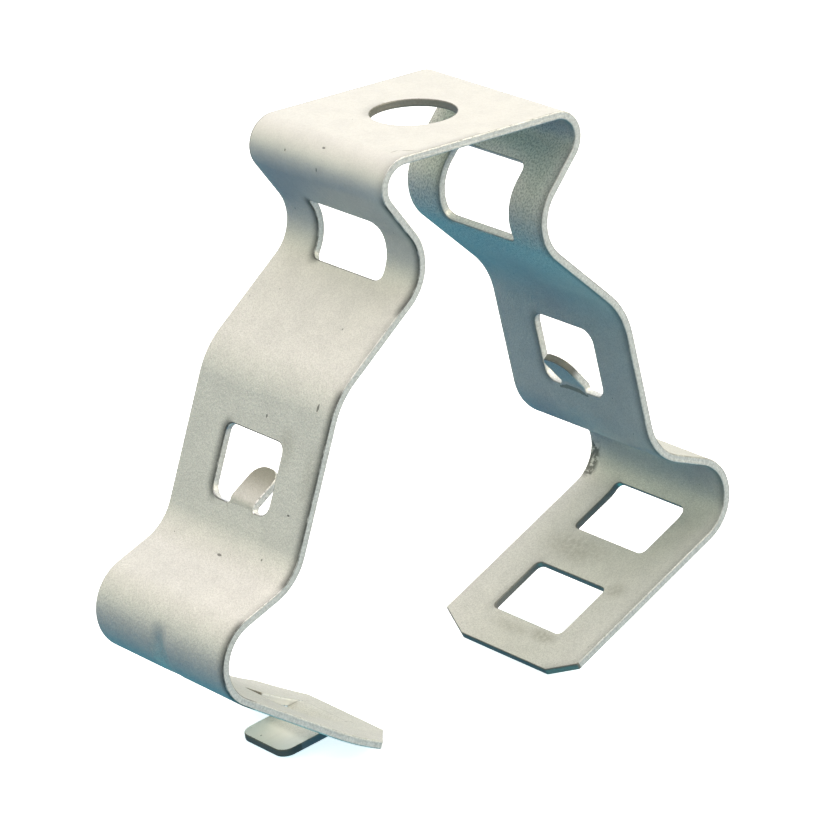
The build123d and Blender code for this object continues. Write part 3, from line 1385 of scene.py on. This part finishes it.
    def fill(self, loops: list[np.ndarray], filling: np.ndarray, joins: Joins) -> np.ndarray:
        """Fills the blank's face with triangles.

        Args:
            loops: The outlines of the face.
            filling: The points between them.
            joins: The pairs of outline points that an edge joins.

        Returns:
            One row of three point numbers for each triangle.
        """
        flat = np.concatenate([*loops, filling])
        verts, _, faces, *_ = delaunay_2d_cdt([Vector(p) for p in flat], joins, [], 0, TINY)
        if len(verts) != len(flat):
            raise ValueError(f"the fill made {len(verts)} points of {len(flat)}")
        found = np.array([face for face in faces if len(face) == 3])
        return found[self.metal(flat[found].mean(1), loops)]

    def skin(self, edge: np.ndarray, step: np.ndarray, way: np.ndarray, filling: np.ndarray) -> Skin:
        """Stacks the rings of the edges and both faces' fillings.

        Args:
            edge: The points of all outlines.
            step: The mitred way out at each.
            way: The unit way out at each.
            filling: The points between the outlines.

        Returns:
            The points of the surface.
        """
        half = self.blank.sheet / 2
        layers = [(edge - step * ring.inward, ring.height, ring.slope, way) for ring in self.rings()]
        layers += [(filling, height, 0.0, np.zeros_like(filling)) for height in (half, -half)]
        edge_zone, inner_zone = self.blank.zone_of(edge), self.blank.zone_of(filling)
        zones = [edge_zone] * (len(layers) - 2) + [inner_zone] * 2
        return Skin(
            np.concatenate([np.column_stack([p, np.full(len(p), h)]) for p, h, _, _ in layers]),
            np.concatenate([np.full(len(p), slope) for p, _, slope, _ in layers]),
            np.concatenate([out for *_, out in layers]),
            np.concatenate(zones),
        )

    def normals(self, skin: Skin) -> np.ndarray:
        """Finds the direction that the folded surface faces at each of its points.

        Args:
            skin: The points.

        Returns:
            One unit row for each point.
        """
        frames = []
        for axis in range(2):
            shift = np.zeros(3)
            shift[axis] = self.nudge
            run = self.folded(skin.zone, skin.spot + shift) - self.folded(skin.zone, skin.spot - shift)
            frames.append(run / np.linalg.norm(run, axis=1)[:, None])
        face = np.cross(frames[0], frames[1]) * np.sign(skin.spot[:, 2:])
        side = frames[0] * skin.out[:, :1] + frames[1] * skin.out[:, 1:]
        normal = face * np.cos(skin.slope)[:, None] + side * np.sin(skin.slope)[:, None]
        return normal / np.linalg.norm(normal, axis=1)[:, None]

    def polygons(self, triangles: np.ndarray, joins: Joins, count: int, filled: int) -> Polygons:
        """Lists the surface's polygons: both faces, and the walls between the rings.

        Args:
            triangles: The triangles of one face.
            joins: The pairs of outline points that an edge joins.
            count: The number of outline points.
            filled: The number of points between the outlines.

        Returns:
            The points of each polygon, and the number of its finish.
        """
        steps = len(self.rings()) - 1
        last = count * steps
        upper = np.where(triangles < count, triangles, triangles + last)
        lower = triangles + last + np.where(triangles < count, 0, filled)
        found = upper.tolist() + lower[:, ::-1].tolist()
        finishes = [Finish.COAT.value] * len(found)
        for k in range(steps):
            above, below = k * count, (k + 1) * count
            found += [(above + a, below + a, below + b, above + b) for a, b in joins]
            finish = Finish.EDGE if 1 <= k < steps - 1 else Finish.COAT
            finishes += [finish.value] * len(joins)
        return found, finishes

    @staticmethod
    def store(mesh: bpy.types.Mesh, name: str, values: np.ndarray) -> None:
        """Stores a value, or a place, for each point of the mesh."""
        kind, item = ("FLOAT", "value") if values.ndim == 1 else ("FLOAT_VECTOR", "vector")
        mesh.attributes.new(name, kind, "POINT").data.foreach_set(item, values.ravel())

    def build(self) -> bpy.types.Object:
        """Makes the folded strap.

        Returns:
            The strap's object, in metres and in the frame of the CAD.
        """
        loops = self.blank.loops()
        starts = np.cumsum([0] + [len(loop) for loop in loops])
        joins = [(a + i, a + (i + 1) % (b - a)) for a, b in zip(starts, starts[1:]) for i in range(b - a)]
        steps, ways = zip(*(self.outward(loop) for loop in loops))
        first = self.rings()[0]
        inset = [loop - step * first.inward for loop, step in zip(loops, steps)]
        filling = self.interior(inset)
        edge, way = np.concatenate(loops), np.concatenate(ways)
        skin = self.skin(edge, np.concatenate(steps), way, filling)
        on_strip = self.blank.zone_of(edge) == Zone.STRIP.value
        near_rims = edge[(way[:, 1] < self.near_way) & on_strip]
        triangles = self.fill(inset, filling, joins)
        polygons, finishes = self.polygons(triangles, joins, len(edge), len(filling))

        mesh = bpy.data.meshes.new("folded_strap")
        mesh.from_pydata((self.folded(skin.zone, skin.spot) * MM).tolist(), [], polygons)
        mesh.polygons.foreach_set("material_index", finishes)
        mesh.polygons.foreach_set("use_smooth", [True] * len(polygons))
        self.store(mesh, PLACE, skin.spot)
        self.store(mesh, NEAR_RIM, self.nearest(skin.spot[:, :2], near_rims))
        self.store(mesh, ZONE, skin.zone.astype(float))
        mesh.update()
        mesh.normals_split_custom_set_from_vertices(self.normals(skin).tolist())
        strap = bpy.data.objects.new("folded_strap", mesh)
        bpy.context.scene.collection.objects.link(strap)
        return strap

    def dress(self, strap: bpy.types.Object) -> None:
        """Puts the finishes on the strap and stands it for its CAD node.

        Args:
            strap: The strap's object.
        """
        strap.data.materials.append(FlakeCoat().build())
        strap.data.materials.append(ShearedEdge().build())
        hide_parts(self.node)
        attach(strap, "root")


@dataclass(frozen=True)
class SoftBox:
    """One square soft light that looks at the clamp. Its side and its distance are in metres."""

    name: str
    azimuth: float
    elevation: float
    watts: float
    colour: Colour = (1.0, 1.0, 1.0)
    side: float = 0.35
    distance: float = 0.6

    def build(self, target: Vector) -> bpy.types.Object:
        """Makes the light.

        Args:
            target: The point that the light looks at.

        Returns:
            The light object.
        """
        a, e = radians(self.azimuth), radians(self.elevation)
        back = Vector((sin(a) * cos(e), -cos(a) * cos(e), sin(e)))
        lamp = bpy.data.lights.new(self.name, "AREA")
        lamp.shape = "SQUARE"
        lamp.size = self.side
        lamp.energy = self.watts
        lamp.color = self.colour
        light = bpy.data.objects.new(self.name, lamp)
        bpy.context.scene.collection.objects.link(light)
        light.location = target + back * self.distance
        light.rotation_mode = "QUATERNION"
        light.rotation_quaternion = (-back).to_track_quat("-Z", "Y")
        return light


@dataclass
class Studio:
    """Floor, lights, surroundings and camera.

    The floor's side and the nearest sight are in metres, the camera's other distances in millimetres.
    """

    floor_side: float = 4.0
    floor_colour: Colour = (0.9, 0.9, 0.9)
    floor_roughness: float = 0.9
    glow_colour: Colour = (1.0, 1.0, 1.0)
    floor_glow: float = 0.75
    sky: Colour = (0.75, 0.8, 0.62)
    ground: Colour = (0.0, 0.1, 0.25)
    sensor_width: float = 36.0
    nearest_seen: float = 0.01
    focal_pixels: float = 4858.54
    azimuth: float = -37.873
    elevation: float = 20.754
    roll: float = -2.912
    distance: float = 429.716
    shift_right: float = -0.046
    shift_up: float = -26.288
    drop: float = 0.38

    def lights(self) -> list[SoftBox]:
        """Lists the soft lights of the studio.

        Returns:
            The lights.
        """
        return [
            SoftBox("overhead", 0.0, 88.0, 1.54, (0.84, 0.76, 1.0)),
            SoftBox("upper_left", -100.0, 50.0, 1.07, (1.0, 0.72, 0.83)),
            SoftBox("upper_back", 170.0, 50.0, 0.15, (0.76, 0.6, 1.0)),
            SoftBox("side_left", -100.0, 25.0, 0.17, (0.2, 1.0, 0.6)),
            SoftBox("front_right", 35.0, 28.0, 2.54, (1.0, 0.88, 0.715)),
            SoftBox("low_back", 150.0, 10.0, 0.5, (0.714, 0.714, 1.0)),
            SoftBox("underneath", 0.0, -88.0, 1.01, (0.19, 0.99, 1.0)),
        ]

    def build_floor(self, level: float) -> None:
        """Lays the floor.

        Args:
            level: Height of the lowest point of the clamp.
        """
        bpy.ops.mesh.primitive_plane_add(size=self.floor_side, location=(0.0, 0.0, level))
        floor = bpy.context.object
        floor.name = "floor"
        floor.visible_diffuse = False
        floor.visible_glossy = False
        floor.visible_transmission = False
        floor.visible_shadow = False
        paint = bpy.data.materials.new("floor_paper")
        paint.use_nodes = True
        shader = paint.node_tree.nodes["Principled BSDF"]
        shader.inputs["Base Color"].default_value = (*self.floor_colour, 1.0)
        shader.inputs["Roughness"].default_value = self.floor_roughness
        shader.inputs["Emission Color"].default_value = (*self.glow_colour, 1.0)
        shader.inputs["Emission Strength"].default_value = self.floor_glow
        floor.data.materials.append(paint)
        floor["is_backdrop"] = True

    def build_world(self) -> None:
        """Sets the pale surroundings, light above the floor's level and dim below it."""
        world = bpy.data.worlds.new("studio")
        world.use_nodes = True
        tree = world.node_tree
        back = tree.nodes["Background"]
        coordinates = tree.nodes.new("ShaderNodeTexCoord")
        split = tree.nodes.new("ShaderNodeSeparateXYZ")
        above = tree.nodes.new("ShaderNodeMath")
        above.operation = "GREATER_THAN"
        above.inputs[1].default_value = 0.0
        mix = tree.nodes.new("ShaderNodeMix")
        mix.data_type = "RGBA"
        mix.inputs["A"].default_value = (*self.ground, 1.0)
        mix.inputs["B"].default_value = (*self.sky, 1.0)
        tree.links.new(coordinates.outputs["Generated"], split.inputs["Vector"])
        tree.links.new(split.outputs["Z"], above.inputs[0])
        tree.links.new(above.outputs["Value"], mix.inputs["Factor"])
        tree.links.new(mix.outputs["Result"], back.inputs["Color"])
        bpy.context.scene.world = world
        bpy.context.scene.view_settings.view_transform = "Standard"

    def build_camera(self) -> None:
        """Puts the camera at the viewing angle of the photograph."""
        a, e, r = radians(self.azimuth), radians(self.elevation), radians(self.roll)
        back = Vector((sin(a) * cos(e), -cos(a) * cos(e), sin(e)))
        side = Vector((cos(a), sin(a), 0.0))
        up = back.cross(side)
        right = side * cos(r) + up * sin(r)
        above = up * cos(r) - side * sin(r)
        data = bpy.data.cameras.new("camera")
        data.sensor_width = self.sensor_width
        data.lens = self.focal_pixels / FRAME_PIXELS * data.sensor_width
        data.clip_start = self.nearest_seen
        camera = bpy.data.objects.new("camera", data)
        place = back * self.distance + right * self.shift_right + above * self.shift_up
        place.z -= self.drop
        turn = Matrix((right, above, back)).transposed()
        camera.matrix_world = Matrix.Translation(place * MM) @ turn.to_4x4()
        bpy.context.scene.collection.objects.link(camera)
        bpy.context.scene.camera = camera

    def build(self, low: Vector, high: Vector) -> None:
        """Builds everything that isn't the clamp.

        Args:
            low: Lowest corner of the clamp.
            high: Highest corner of the clamp.
        """
        self.build_floor(low.z)
        self.build_world()
        for box in self.lights():
            box.build((low + high) / 2)
        self.build_camera()


def main() -> None:
    """Builds the scene in order."""
    logging.basicConfig(level=logging.INFO, format="%(name)s: %(message)s")
    cad_low, cad_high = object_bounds()
    clamp = ClampStrap()
    strap = clamp.build()
    LOG.info("strap folded: %d faces", len(strap.data.polygons))
    clamp.dress(strap)
    LOG.info("strap dressed")
    Studio().build(cad_low, cad_high)
    LOG.info("studio built")


if __name__ == "__main__":
    main()
